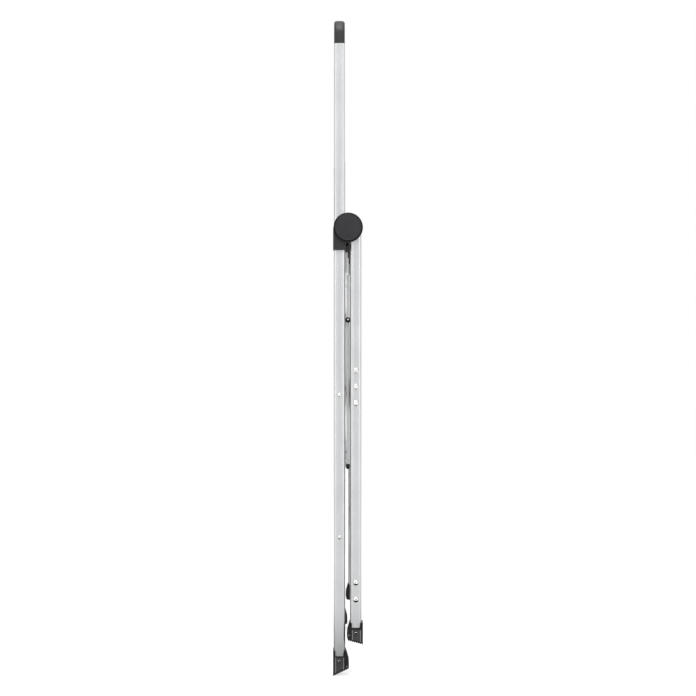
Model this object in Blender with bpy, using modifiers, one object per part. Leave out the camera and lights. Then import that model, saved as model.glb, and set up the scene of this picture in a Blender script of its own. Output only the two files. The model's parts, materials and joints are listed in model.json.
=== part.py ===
"""Folding three-step stepladder with a raised hand rail, modelled folded flat.

Frame: metres, +Z up. X runs across the ladder, +X on the climber's right. -Y is the climbing side.
Origin: under the middle of the folded ladder, at floor level. Outlines are lists of (y, z) points.
"""
import math

import bmesh
import bpy
from mathutils import Matrix, Vector

# The opened ladder: lean of the front frame from the vertical, and angle between the two frames
FRONT_LEAN = math.radians(25.2)
FOLD = math.radians(40.0)
REAR_LEAN = FOLD - FRONT_LEAN
STEP_SWING = math.radians(90) - FRONT_LEAN

# Gap that touching pieces keep, clearance round a pin in its hole, and how far a cutter overshoots
GAP = 0.0003
PIN_CLEARANCE = 0.0003
OVERSHOOT = 0.004

# Leg extrusions. X positions below are for the right-hand side.
LEG_OUTER = 0.220
LEG_WIDTH = 0.026
LEG_DEPTH = 0.0207
LEG_WALL = 0.0016
LEG_CORNER = 0.0058
LEG_INNER = LEG_OUTER - LEG_WIDTH
LEG_X = LEG_OUTER - LEG_WIDTH / 2
FRONT_Y = -0.01525
REAR_Y = 0.0142
FRONT_LEG_BOTTOM = 0.016
FRONT_LEG_TOP = 0.800
REAR_LEG_BOTTOM = 0.069
REAR_LEG_TOP = 0.796

# Front face of the folded ladder, which the front feet and hub housings reach
FRONT_FACE = -0.0267

# Hub: the hinge between the frames
HUB = Vector((0.0005, 0.807))
HUB_CAP_RADIUS = 0.0259
HOUSING_RADIUS = 0.0266
HOUSING_BOTTOM = 0.7663
HOUSING_OUTER = 0.2240
HOUSING_WALL = 0.0011
BOLT_RADIUS = 0.004
BOSS_RADIUS = 0.0052
SPIGOT_LENGTH = 0.024
HINGE_PLATE_INNER = 0.1905
HINGE_PLATE_OUTER = 0.1935
HINGE_PLATE_BOTTOM = 0.762
HINGE_EYE_RADIUS = 0.014

# Hand rail
POST_DEPTH = 0.0198
POST_WIDTH = 0.0250
POST_BOTTOM = 0.803
POST_TOP = 1.1391
RAIL_DEPTH = 0.0194
RAIL_TOP = 1.184
RAIL_HEIGHT = 0.0250
RAIL_HALF = 0.1847
RAIL_WALL = 0.0015
ELBOW_RADIUS = 0.013

# Steps: extrusion and brackets between the front legs
STEP_PIVOTS = {"top": 0.771, "middle": 0.505, "bottom": 0.249}
STEP_NOSE = 0.035
STEP_REACH = 0.160
STEP_FRONT = -0.0240
STEP_BACK = -0.0046
STEP_PLATE = 0.0022
STEP_RIB_DEPTH = 0.010
STEP_RIBS = 4
STEP_HALF = 0.1760
BRACKET_INNER = 0.1763
BRACKET_OUTER = 0.1833
EAR_RADIUS = 0.006
MAT_FRONT = -0.0255
MAT_MARGIN = 0.010
MAT_GROOVES = 9

# Linkage: side link from the rear leg to the middle step, tie rods between the middle and bottom steps
LINK_PIVOT = Vector((REAR_Y, 0.549))
LINK_INNER = 0.1899
LINK_OUTER = 0.1924
LINK_RADIUS = 0.005
ROD_X = 0.1866
ROD_Y = 0.0003
ROD_RADIUS = 0.003
ROD_BOTTOM = 0.369
ROD_TOP = 0.724
ROD_EYE_RADIUS = 0.0052
STUD_RADIUS = 0.0022
STUD_END = 0.1896
LIFT_BAR_RADIUS = 0.004

# Rear braces: rivet heights, and the bent plate that they hold
BRACE_RIVETS = {"upper": (0.5202, 0.4905), "lower": (0.1674, 0.1368)}
BRACE_MARGIN = 0.011
BRACE_TAB_OUTER = LEG_INNER - GAP
BRACE_SHEET = 0.0018
BRACE_TAB_HALF = 0.008
RIVET_SHANK = 0.0024
PIVOT_SHANK = 0.0025
SHOULDER_RADIUS = 0.0045
PIVOT_BORE_END = 0.1770
PIVOT_TIP = 0.1775
HEAD_SEAT = LEG_OUTER + GAP

# Feet
FOOT_INNER = 0.1912
FOOT_OUTER = 0.2225
FRONT_FOOT_LIP = 0.0450
FRONT_FOOT_COLLAR = 0.0352
REAR_FOOT_LIP = 0.0948
REAR_FOOT_COLLAR = 0.0862
SCALLOP_WIDTH = 0.0206
REAR_FOOT_BACK = 0.0270
FRONT_SCREW = (-0.0157, 0.0261)
REAR_SCREW = (0.0144, 0.0765)
SCREW_SHANK = 0.0014

# Colour, roughness and metallic value of each material
FINISHES = {
    "satin_aluminium": ((0.66, 0.67, 0.68), 0.38, 1.0),
    "step_aluminium": ((0.62, 0.63, 0.64), 0.42, 1.0),
    "black_plastic": ((0.035, 0.035, 0.037), 0.50, 0.0),
    "black_rubber": ((0.022, 0.022, 0.023), 0.80, 0.0),
    "zinc_steel": ((0.72, 0.72, 0.71), 0.28, 1.0),
    "black_steel": ((0.030, 0.030, 0.032), 0.45, 0.0),
}

for old in list(bpy.data.objects):
    bpy.data.objects.remove(old, do_unlink=True)

parts = bpy.data.collections.new("folding_stepladder")
tools = bpy.data.collections.new("cutters")
bpy.context.scene.collection.children.link(parts)
bpy.context.scene.collection.children.link(tools)


# ---------------------------------------------------------------- materials and joint axes

def make_material(name):
    """Principled material with one of the finishes above."""
    colour, roughness, metallic = FINISHES[name]
    material = bpy.data.materials.new(name)
    material.use_nodes = True
    shader = material.node_tree.nodes["Principled BSDF"]
    shader.inputs["Base Color"].default_value = (*colour, 1.0)
    shader.inputs["Roughness"].default_value = roughness
    shader.inputs["Metallic"].default_value = metallic
    return material


def make_axis(name, y, z, parent=None):
    """Empty on a joint's axis, which carries the pieces of one moving body."""
    empty = bpy.data.objects.new(name, None)
    empty.empty_display_size = 0.03
    empty.location = (0, y, z)
    parts.objects.link(empty)
    bpy.context.view_layer.update()
    if parent:
        empty.parent = parent
        empty.matrix_parent_inverse = parent.matrix_world.inverted()
    return empty


# ---------------------------------------------------------------- outlines

def turn(point, angle, centre=(0.0, 0.0)):
    """Where a hinge on +X at centre carries a (y, z) point."""
    offset = Vector(point) - Vector(centre)
    cosine, sine = math.cos(angle), math.sin(angle)
    return Vector(centre) + Vector((offset.x * cosine - offset.y * sine, offset.x * sine + offset.y * cosine))


def arc(centre, radius, start, end, steps):
    """Points on a circle from start to end, in degrees."""
    angles = [math.radians(start + (end - start) * i / steps) for i in range(steps + 1)]
    return [(centre[0] + radius * math.cos(a), centre[1] + radius * math.sin(a)) for a in angles]


def rounded_rectangle(centre, width, height, radius, steps=3):
    """Closed outline of a rectangle with round corners."""
    points = []
    for quarter, (side_x, side_y) in enumerate(((1, 1), (-1, 1), (-1, -1), (1, -1))):
        corner = (centre[0] + side_x * (width / 2 - radius), centre[1] + side_y * (height / 2 - radius))
        points += arc(corner, radius, 90 * quarter, 90 * quarter + 90, steps)
    return points


def pin_distance():
    """Distance along a step, pivot to link pin, at which the side link fits folded and opened."""
    drop = Vector((ROD_Y - FRONT_Y, 0))
    pivot = Vector((FRONT_Y, STEP_PIVOTS["middle"]))
    folded = LINK_PIVOT - pivot - drop
    opened = turn(LINK_PIVOT, FOLD, HUB) - pivot - turn(drop, -STEP_SWING)
    along = turn((0, 1), -STEP_SWING)
    return (opened.length_squared - folded.length_squared) / (2 * (opened.dot(along) - folded.y))


def front_sole(y):
    """Height of the front feet's sole, which lies flat on the floor when the ladder is open."""
    return (y - FRONT_FACE) * math.tan(FRONT_LEAN)


def rear_sole(y):
    """Height of the rear feet's sole: as far from the hub as the front soles, at the rear lean."""
    to_front = HUB - Vector((FRONT_FACE, 0))
    distance = to_front.y * math.cos(FRONT_LEAN) - to_front.x * math.sin(FRONT_LEAN)
    return HUB.y - (distance - (HUB.x - y) * math.sin(REAR_LEAN)) / math.cos(REAR_LEAN)


# ---------------------------------------------------------------- solids

def finish_object(name, mesh, location, finish, body):
    """Name a finished piece, give it its material and hang it on its body's axis."""
    mesh.name = name
    mesh.materials.clear()
    mesh.materials.append(materials[finish])
    mesh.shade_smooth()
    mesh.set_sharp_from_angle(angle=math.radians(35))
    piece = bpy.data.objects.new(name, mesh)
    piece.location = location
    parts.objects.link(piece)
    piece.parent = body
    piece.matrix_parent_inverse = body.matrix_world.inverted()
    return piece


def prism_mesh(loops, low, high, axis):
    """Mesh of closed outlines extruded along X, (y, z) points, or along Z, (x, y) points."""
    curve = bpy.data.curves.new("outline", "CURVE")
    curve.dimensions = "2D"
    curve.fill_mode = "BOTH"
    curve.extrude = (high - low) / 2
    for loop in loops:
        spline = curve.splines.new("POLY")
        spline.points.add(len(loop) - 1)
        for point, (u, v) in zip(spline.points, loop):
            point.co = (u, v, 0, 1)
        spline.use_cyclic_u = True
    guide = bpy.data.objects.new("outline", curve)
    tools.objects.link(guide)
    lift = Matrix.Translation((0, 0, (low + high) / 2))
    upright = Matrix(((0, 0, 1, 0), (1, 0, 0, 0), (0, 1, 0, 0), (0, 0, 0, 1)))
    return mesh_from(guide, upright @ lift if axis == "X" else lift)


def mesh_from(guide, matrix):
    """Welded mesh of a curve object, moved by matrix. The curve is removed."""
    evaluated = guide.evaluated_get(bpy.context.evaluated_depsgraph_get())
    mesh = bpy.data.meshes.new_from_object(evaluated)
    bpy.data.objects.remove(guide)
    mesh.transform(matrix)
    work = bmesh.new()
    work.from_mesh(mesh)
    bmesh.ops.remove_doubles(work, verts=work.verts, dist=1e-6)
    bmesh.ops.recalc_face_normals(work, faces=work.faces)
    work.to_mesh(mesh)
    work.free()
    return mesh


def prism(name, loops, low, high, finish, body, axis="X"):
    """Extruded piece with its origin at the middle of its box."""
    mesh = prism_mesh(loops, low, high, axis)
    corners = [vertex.co for vertex in mesh.vertices]
    middle = Vector([(min(c[i] for c in corners) + max(c[i] for c in corners)) / 2 for i in range(3)])
    mesh.transform(Matrix.Translation(-middle))
    return finish_object(name, mesh, middle, finish, body)


def turned(name, profile, centre, finish, body, steps=12):
    """Turned piece on an axis along X through centre (y, z), from its (radius, x) profile."""
    start = profile[0][1]
    mesh = bpy.data.meshes.new(name)
    points = [(radius, 0, x - start) for radius, x in profile]
    mesh.from_pydata(points, [(i, i + 1) for i in range(len(points) - 1)], [])
    piece = finish_object(name, mesh, (start, *centre), finish, body)
    piece.rotation_euler = (0, math.radians(90), 0)
    screw = piece.modifiers.new("Turn", "SCREW")
    screw.steps = steps
    screw.render_steps = steps
    screw.use_merge_vertices = True
    screw.merge_threshold = 1e-5
    screw.use_smooth_shade = True
    return piece


def cylinder_mesh(axis, centre, radius, low, high, steps=12):
    """Cylinder along X or Z from low to high; centre is its other two coordinates."""
    mesh = bpy.data.meshes.new("cylinder")
    work = bmesh.new()
    middle = (low + high) / 2
    place = Matrix.Translation((middle, *centre) if axis == "X" else (*centre, middle))
    if axis == "X":
        place = place @ Matrix.Rotation(math.radians(90), 4, "Y")
    bmesh.ops.create_cone(work, cap_ends=True, segments=steps, radius1=radius, radius2=radius,
                          depth=high - low, matrix=place)
    work.to_mesh(mesh)
    work.free()
    return mesh


def box_mesh(x_range, y_range, z_range):
    """Box between the given limits."""
    mesh = bpy.data.meshes.new("box")
    work = bmesh.new()
    limits = (x_range, y_range, z_range)
    middle = Vector([(low + high) / 2 for low, high in limits])
    size = Vector([high - low for low, high in limits])
    bmesh.ops.create_cube(work, size=1, matrix=Matrix.Translation(middle) @ Matrix.Diagonal((*size, 1)))
    work.to_mesh(mesh)
    work.free()
    return mesh


def combine(piece, mesh, operation):
    """Join a mesh given in world coordinates to a piece, or cut it away."""
    tool = bpy.data.objects.new(f"{piece.name}_{operation.lower()}", mesh)
    tool.hide_render = True
    tool.display_type = "WIRE"
    tools.objects.link(tool)
    boolean = piece.modifiers.new(operation.title(), "BOOLEAN")
    boolean.operation = operation
    boolean.solver = "EXACT"
    boolean.object = tool


def drill(piece, centres, radius, low, high):
    """Drill holes along X at (y, z) centres."""
    for centre in centres:
        combine(piece, cylinder_mesh("X", centre, radius, low, high), "DIFFERENCE")


def make_left(right, body):
    """Left-hand twin of a right-hand piece: its mirror image across X = 0."""
    bpy.context.view_layer.update()
    evaluated = right.evaluated_get(bpy.context.evaluated_depsgraph_get())
    mesh = bpy.data.meshes.new_from_object(evaluated)
    place = right.matrix_world.translation * Vector((-1, 1, 1))
    mirror = Matrix.Scale(-1, 4, (1, 0, 0))
    mesh.transform(Matrix.Translation(-place) @ mirror @ right.matrix_world)
    mesh.flip_normals()
    finish = right.data.materials[0].name
    return finish_object(right.name.replace("right_", "left_"), mesh, place, finish, body)


# ---------------------------------------------------------------- front frame

def leg_loops(y, width=LEG_WIDTH, depth=LEG_DEPTH, wall=LEG_WALL):
    """Outer and inner outline of a leg or post extrusion, as (x, y) points."""
    centre = (LEG_X, y)
    outer = rounded_rectangle(centre, width, depth, LEG_CORNER)
    inner = rounded_rectangle(centre, width - 2 * wall, depth - 2 * wall, LEG_CORNER - wall)
    return [outer, inner]


def make_front_leg():
    """Front leg, drilled for the three step pivots and the foot's screw."""
    leg = prism("right_front_leg", leg_loops(FRONT_Y), FRONT_LEG_BOTTOM, FRONT_LEG_TOP,
                "satin_aluminium", front_frame, axis="Z")
    pivots = [(FRONT_Y, z) for z in STEP_PIVOTS.values()]
    drill(leg, pivots, PIVOT_SHANK + PIN_CLEARANCE, LEG_INNER - OVERSHOOT, LEG_OUTER + OVERSHOOT)
    drill(leg, [FRONT_SCREW], SCREW_SHANK + PIN_CLEARANCE, LEG_X, LEG_OUTER + OVERSHOOT)
    return leg


def make_step_pivot(step):
    """Shouldered pin that a step turns on. The top one ends flush, under the hub housing."""
    outer, inner = LEG_INNER - GAP, BRACKET_OUTER + GAP
    neck = [(PIVOT_SHANK, outer), (SHOULDER_RADIUS, outer), (SHOULDER_RADIUS, inner),
            (PIVOT_SHANK, inner), (PIVOT_SHANK, PIVOT_TIP), (0, PIVOT_TIP)]
    head = [(0, HEAD_SEAT + 0.0020), (0.0022, HEAD_SEAT + 0.0016), (0.0036, HEAD_SEAT),
            (PIVOT_SHANK, HEAD_SEAT)]
    flush = [(0, LEG_OUTER - GAP / 3), (PIVOT_SHANK, LEG_OUTER - GAP / 3)]
    profile = (flush if step == "top" else head) + neck
    centre = (FRONT_Y, STEP_PIVOTS[step])
    return turned(f"right_{step}_step_pivot", profile, centre, "zinc_steel", front_frame)


def make_hub_housing():
    """Moulded hub: cover plate with its skirt, collar and spigots for leg and post, and bolt boss."""
    disc = arc(HUB, HOUSING_RADIUS, 180, -94, 22)
    skirt_back = FRONT_Y + LEG_DEPTH / 2 + GAP + HOUSING_WALL
    skirt = [(skirt_back, HUB.y - 0.031), (skirt_back, HOUSING_BOTTOM), (FRONT_FACE, HOUSING_BOTTOM)]
    housing = prism("right_hub_housing", [disc + skirt], LEG_OUTER + GAP, HOUSING_OUTER,
                    "black_plastic", front_frame)
    inside = HOUSING_OUTER - 0.002
    front_wall = ((0.199, inside), (FRONT_FACE, FRONT_FACE + 0.0008), (HOUSING_BOTTOM, HUB.y - 0.001))
    rear_wall = ((0.199, inside), (skirt_back - HOUSING_WALL, skirt_back), (HOUSING_BOTTOM, HUB.y - 0.027))
    collar = ((LEG_INNER, inside), (FRONT_FACE + 0.0004, FRONT_Y + LEG_DEPTH / 2),
              (FRONT_LEG_TOP + GAP, POST_BOTTOM - GAP))
    for limits in (front_wall, rear_wall, collar):
        combine(housing, box_mesh(*limits), "UNION")
    spigot = rounded_rectangle((LEG_X, FRONT_Y), 0.0212, 0.0158, 0.0036)
    middle = (FRONT_LEG_TOP + POST_BOTTOM) / 2
    combine(housing, prism_mesh([spigot], middle - SPIGOT_LENGTH, middle + SPIGOT_LENGTH, "Z"), "UNION")
    combine(housing, cylinder_mesh("X", HUB, BOSS_RADIUS, LEG_INNER + GAP, inside, 16), "UNION")
    drill(housing, [HUB], BOLT_RADIUS + PIN_CLEARANCE, LEG_INNER - OVERSHOOT, HOUSING_OUTER + OVERSHOOT)
    return housing


def make_hub_cap():
    """Domed round cap over the bolt head."""
    back = HOUSING_OUTER + GAP
    dome = [(0, 0.0057), (0.0130, 0.0054), (0.0215, 0.0044), (0.0249, 0.0030), (HUB_CAP_RADIUS, 0.0012)]
    recess = [(HUB_CAP_RADIUS, 0), (0.0095, 0), (0.0095, 0.0042), (0, 0.0042)]
    profile = [(radius, back + height) for radius, height in dome + recess]
    return turned("right_hub_cap", profile, HUB, "black_plastic", front_frame, steps=32)


def make_hub_bolt():
    """Bolt that both frames turn on."""
    head = HOUSING_OUTER + GAP
    nut = HINGE_PLATE_INNER - GAP
    top, end = head + 0.0036, nut - 0.0030
    profile = [(0, top), (0.0073, top), (0.0080, top - 0.0007), (0.0080, head), (BOLT_RADIUS, head),
               (BOLT_RADIUS, nut), (0.0070, nut), (0.0070, end), (0, end)]
    return turned("right_hub_bolt", profile, HUB, "zinc_steel", front_frame)


def make_foot(name, outline, y, leg_bottom, collar, screw, body):
    """Rubber foot: a boot with a socket for the leg and a scalloped collar on its side faces."""
    foot = prism(name, [outline], FOOT_INNER, FOOT_OUTER, "black_rubber", body)
    socket = rounded_rectangle((LEG_X, y), LEG_WIDTH + 2 * GAP, LEG_DEPTH + 2 * GAP, LEG_CORNER + GAP)
    combine(foot, prism_mesh([socket], leg_bottom - GAP, collar + 0.03, "Z"), "DIFFERENCE")
    scallop = rounded_rectangle((y, collar + 0.015), SCALLOP_WIDTH, 0.03, 0.003)
    low, high = FOOT_INNER - OVERSHOOT, FOOT_OUTER + OVERSHOOT
    combine(foot, prism_mesh([scallop], low, high, "X"), "DIFFERENCE")
    drill(foot, [screw], SCREW_SHANK + PIN_CLEARANCE, LEG_X, FOOT_OUTER + OVERSHOOT)
    return foot


def make_front_foot():
    """Front foot, toe at the front, with the heel that bulges towards the rear leg."""
    outline = [(FRONT_FACE, 0), (0.0012, front_sole(0.0012)), (0.0019, 0.0165), (0.0017, 0.0262),
               (-0.0008, 0.0355), (-0.0040, FRONT_FOOT_LIP), (FRONT_FACE, FRONT_FOOT_LIP)]
    return make_foot("right_front_foot", outline, FRONT_Y, FRONT_LEG_BOTTOM, FRONT_FOOT_COLLAR,
                     FRONT_SCREW, front_frame)


def make_foot_screw(name, screw, body):
    """Pan head screw through a foot into its leg."""
    seat = FOOT_OUTER + GAP
    top, end = seat + 0.0012, seat - 0.0063
    profile = [(0, top), (0.0016, top), (0.0027, top - 0.0007), (0.0027, seat), (SCREW_SHANK, seat),
               (SCREW_SHANK, end), (0, end)]
    return turned(name, profile, screw, "zinc_steel", body, steps=10)


def make_post():
    """Hand rail post, which stands in the hub housing."""
    loops = leg_loops(FRONT_Y, POST_WIDTH, POST_DEPTH)
    return prism("right_handrail_post", loops, POST_BOTTOM, POST_TOP, "satin_aluminium", front_frame, "Z")


def make_corner():
    """Elbow from post to rail: a swept rounded section with a spigot into each tube."""
    bottom = POST_TOP + GAP
    bend = (LEG_X - ELBOW_RADIUS, RAIL_TOP - RAIL_HEIGHT / 2 - ELBOW_RADIUS)
    end = (RAIL_HALF + GAP, bend[1] + ELBOW_RADIUS)
    route = [(LEG_X, bottom)] + arc(bend, ELBOW_RADIUS, 0, 90, 6) + [end]
    section_curve = bpy.data.curves.new("elbow_section", "CURVE")
    section_curve.dimensions = "2D"
    path_curve = bpy.data.curves.new("elbow_path", "CURVE")
    path_curve.dimensions = "3D"
    section = section_curve.splines.new("POLY")
    outline = rounded_rectangle((0, 0), RAIL_HEIGHT, RAIL_DEPTH, 0.0045)
    section.points.add(len(outline) - 1)
    for point, (u, v) in zip(section.points, outline):
        point.co = (u, v, 0, 1)
    section.use_cyclic_u = True
    path = path_curve.splines.new("POLY")
    path.points.add(len(route) - 1)
    for point, (x, z) in zip(path.points, route):
        point.co = (x, FRONT_Y, z, 1)
    section_guide = bpy.data.objects.new("elbow_section", section_curve)
    tools.objects.link(section_guide)
    path_curve.bevel_mode = "OBJECT"
    path_curve.bevel_object = section_guide
    path_curve.use_fill_caps = True
    path_guide = bpy.data.objects.new("elbow_path", path_curve)
    tools.objects.link(path_guide)
    mesh = mesh_from(path_guide, Matrix.Identity(4))
    bpy.data.objects.remove(section_guide)
    origin = Vector((LEG_X, FRONT_Y, bottom))
    mesh.transform(Matrix.Translation(-origin))
    corner = finish_object("right_handrail_corner", mesh, origin, "black_plastic", front_frame)
    rail_z = RAIL_TOP - RAIL_HEIGHT / 2
    deep = (FRONT_Y - 0.0060, FRONT_Y + 0.0060)
    down = ((LEG_X - 0.0100, LEG_X + 0.0100), deep, (bottom - 0.015, bottom + 0.003))
    inward = ((RAIL_HALF - 0.015, RAIL_HALF + 0.003), deep, (rail_z - 0.0100, rail_z + 0.0100))
    for limits in (down, inward):
        combine(corner, box_mesh(*limits), "UNION")
    return corner


def make_rail():
    """Tube across the top, between the two elbows."""
    centre = (FRONT_Y, RAIL_TOP - RAIL_HEIGHT / 2)
    outer = rounded_rectangle(centre, RAIL_DEPTH, RAIL_HEIGHT, 0.0045)
    inner = rounded_rectangle(centre, RAIL_DEPTH - 2 * RAIL_WALL, RAIL_HEIGHT - 2 * RAIL_WALL, 0.003)
    return prism("handrail_bar", [outer, inner], -RAIL_HALF, RAIL_HALF, "satin_aluminium", front_frame)


# ---------------------------------------------------------------- rear frame

def make_rear_leg():
    """Rear leg, drilled for the brace rivets, the side link's pin and the foot's screw."""
    leg = prism("right_rear_leg", leg_loops(REAR_Y), REAR_LEG_BOTTOM, REAR_LEG_TOP,
                "satin_aluminium", rear_frame, axis="Z")
    rivets = [(REAR_Y, z) for heights in BRACE_RIVETS.values() for z in heights]
    drill(leg, rivets + [LINK_PIVOT], RIVET_SHANK + PIN_CLEARANCE,
          LEG_INNER - OVERSHOOT, LEG_OUTER + OVERSHOOT)
    drill(leg, [REAR_SCREW], SCREW_SHANK + PIN_CLEARANCE, LEG_X, LEG_OUTER + OVERSHOOT)
    return leg


def make_hinge_plate():
    """Coated steel plate on the rear leg's inner face, with the eye that turns on the hub bolt."""
    front_edge = REAR_Y - 0.0090
    back_edge = REAR_Y + 0.0087
    outline = arc(HUB, HINGE_EYE_RADIUS, 200, 30, 12)
    outline += [(back_edge, HUB.y - 0.018), (back_edge, HINGE_PLATE_BOTTOM + 0.004),
                (back_edge - 0.004, HINGE_PLATE_BOTTOM), (front_edge + 0.004, HINGE_PLATE_BOTTOM),
                (front_edge, HINGE_PLATE_BOTTOM + 0.004), (front_edge, HUB.y - 0.030)]
    plate = prism("right_rear_hinge_plate", [outline], HINGE_PLATE_INNER, HINGE_PLATE_OUTER,
                  "black_steel", rear_frame)
    drill(plate, [HUB], BOLT_RADIUS + PIN_CLEARANCE, HINGE_PLATE_INNER - OVERSHOOT,
          HINGE_PLATE_OUTER + OVERSHOOT)
    return plate


def make_brace(name):
    """Sheet brace across the rear legs: a web whose ends are bent into riveted tabs."""
    heights = BRACE_RIVETS[name]
    end, inside = BRACE_TAB_OUTER, BRACE_TAB_OUTER - BRACE_SHEET
    front, back = REAR_Y - BRACE_TAB_HALF, REAR_Y + BRACE_TAB_HALF
    web = back - BRACE_SHEET
    outline = [(-end, front), (-end, back), (end, back), (end, front),
               (inside, front), (inside, web), (-inside, web), (-inside, front)]
    brace = prism(f"{name}_rear_brace", [outline], min(heights) - BRACE_MARGIN, max(heights) + BRACE_MARGIN,
                  "satin_aluminium", rear_frame, axis="Z")
    centres = [(REAR_Y, z) for z in heights]
    drill(brace, centres, RIVET_SHANK + PIN_CLEARANCE, end - OVERSHOOT, end + OVERSHOOT)
    drill(brace, centres, RIVET_SHANK + PIN_CLEARANCE, -end - OVERSHOOT, -end + OVERSHOOT)
    return brace


def rivet_head():
    """Domed head that rivets and link pins share."""
    return [(0, HEAD_SEAT + 0.0023), (0.0030, HEAD_SEAT + 0.0018), (0.0050, HEAD_SEAT),
            (RIVET_SHANK, HEAD_SEAT)]


def make_brace_rivet(name, height):
    """Rivet through the rear leg and a brace's tab."""
    tail = BRACE_TAB_OUTER - BRACE_SHEET - GAP
    end = tail - 0.0013
    profile = rivet_head() + [(RIVET_SHANK, tail), (0.0038, tail), (0.0038, end), (0, end)]
    return turned(name, profile, (REAR_Y, height), "zinc_steel", rear_frame, steps=10)


def make_link_pivot():
    """Pin through the rear leg that carries the side link, with a collar to space it."""
    outer, inner = LINK_OUTER + GAP, LINK_INNER - GAP
    seat, collar, end = LEG_INNER - GAP, 0.0042, inner - 0.0012
    profile = rivet_head() + [(RIVET_SHANK, seat), (collar, seat), (collar, outer), (RIVET_SHANK, outer),
                              (RIVET_SHANK, inner), (collar, inner), (collar, end), (0, end)]
    return turned("right_link_pivot", profile, LINK_PIVOT, "zinc_steel", rear_frame, steps=10)


def make_rear_foot():
    """Rear foot, with the heel that bulges towards the front leg."""
    outline = [(0.0002, rear_sole(0.0002)), (REAR_FOOT_BACK, rear_sole(REAR_FOOT_BACK)),
               (REAR_FOOT_BACK, REAR_FOOT_LIP), (0.0030, REAR_FOOT_LIP), (-0.0013, 0.0790), (-0.0017, 0.0702)]
    return make_foot("right_rear_foot", outline, REAR_Y, REAR_LEG_BOTTOM, REAR_FOOT_COLLAR,
                     REAR_SCREW, rear_frame)


# ---------------------------------------------------------------- steps

def step_section(pivot):
    """Outline of the step extrusion: a plate with a flange at each edge and ribs underneath."""
    low, high = pivot - STEP_NOSE, pivot + STEP_REACH
    under = STEP_FRONT + STEP_PLATE
    rib = under + STEP_RIB_DEPTH
    points = [(STEP_FRONT, low), (STEP_BACK, low), (STEP_BACK, low + STEP_PLATE), (under, low + STEP_PLATE)]
    for number in range(1, STEP_RIBS + 1):
        middle = low + (high - low) * number / (STEP_RIBS + 1)
        bottom, top = middle - STEP_PLATE / 2, middle + STEP_PLATE / 2
        points += [(under, bottom), (rib, bottom), (rib, top), (under, top)]
    return points + [(under, high - STEP_PLATE), (STEP_BACK, high - STEP_PLATE), (STEP_BACK, high),
                     (STEP_FRONT, high)]


def bracket_outline(pivot, pin_height=None):
    """Outline of a step's end: the section's box with round corners, and an ear for the rod's pin."""
    low, high = pivot - STEP_NOSE, pivot + STEP_REACH
    depth = STEP_BACK - STEP_FRONT
    centre = ((STEP_FRONT + STEP_BACK) / 2, (low + high) / 2)
    box = rounded_rectangle(centre, depth, high - low, 0.004)
    if pin_height is None:
        return box
    ear = arc((ROD_Y, pin_height), EAR_RADIUS, -65, 65, 6)
    ear = [(STEP_BACK, pin_height - 0.014)] + ear + [(STEP_BACK, pin_height + 0.014)]
    return box[-4:] + ear + box[:-4]


def make_step(name):
    """Step extrusion. The top step carries end walls of its own, the others have end brackets."""
    pivot = STEP_PIVOTS[name]
    step = prism(f"{name}_step", [step_section(pivot)], -STEP_HALF, STEP_HALF, "step_aluminium",
                 step_axes[name])
    if name == "top":
        for low, high in ((STEP_HALF - 0.0005, BRACKET_OUTER), (-BRACKET_OUTER, 0.0005 - STEP_HALF)):
            combine(step, prism_mesh([bracket_outline(pivot)], low, high, "X"), "UNION")
        outside = BRACKET_OUTER + OVERSHOOT
        for low, high in ((PIVOT_BORE_END, outside), (-outside, -PIVOT_BORE_END)):
            drill(step, [(FRONT_Y, pivot)], PIVOT_SHANK + PIN_CLEARANCE, low, high)
    return step


def make_mat(name):
    """Grooved rubber mat on a step's upper face."""
    pivot = STEP_PIVOTS[name]
    low, high = pivot - STEP_NOSE + MAT_MARGIN, pivot + STEP_REACH - MAT_MARGIN
    back = STEP_FRONT - GAP
    groove = MAT_FRONT + 0.0006
    pitch = (high - low) / (MAT_GROOVES + 1)
    points = [(back, low), (back, high), (MAT_FRONT, high)]
    for number in range(MAT_GROOVES, 0, -1):
        middle = low + pitch * number
        bottom, top = middle - 0.0015, middle + 0.0015
        points += [(MAT_FRONT, top), (groove, top), (groove, bottom), (MAT_FRONT, bottom)]
    points.append((MAT_FRONT, low))
    edge = STEP_HALF - 0.006
    return prism(f"{name}_step_mat", [points], -edge, edge, "black_rubber", step_axes[name])


def make_bracket(name):
    """End bracket of the middle or bottom step: pivot bore, and an ear with the rod's stud."""
    pivot = STEP_PIVOTS[name]
    pin = (ROD_Y, pivot + pin_distance())
    bracket = prism(f"right_{name}_step_bracket", [bracket_outline(pivot, pin[1])],
                    BRACKET_INNER, BRACKET_OUTER, "step_aluminium", step_axes[name])
    combine(bracket, cylinder_mesh("X", pin, STUD_RADIUS, BRACKET_OUTER - 0.003, STUD_END), "UNION")
    drill(bracket, [(FRONT_Y, pivot)], PIVOT_SHANK + PIN_CLEARANCE, PIVOT_BORE_END, BRACKET_OUTER + OVERSHOOT)
    return bracket


# ---------------------------------------------------------------- linkage

def make_tie_rod():
    """Rod with an eye on the middle step's stud and one on the bottom step's."""
    mesh = cylinder_mesh("Z", (ROD_X, ROD_Y), ROD_RADIUS, ROD_BOTTOM, ROD_TOP)
    origin = Vector((ROD_X, ROD_Y, STEP_PIVOTS["middle"] + pin_distance()))
    mesh.transform(Matrix.Translation(-origin))
    rod = finish_object("right_tie_rod", mesh, origin, "zinc_steel", bail)
    eyes = [(ROD_Y, STEP_PIVOTS[name] + pin_distance()) for name in ("middle", "bottom")]
    for eye in eyes:
        combine(rod, cylinder_mesh("X", eye, ROD_EYE_RADIUS, ROD_X - 0.0022, ROD_X + 0.0022, 16), "UNION")
    drill(rod, eyes, STUD_RADIUS + PIN_CLEARANCE, ROD_X - OVERSHOOT, ROD_X + OVERSHOOT)
    return rod


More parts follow.
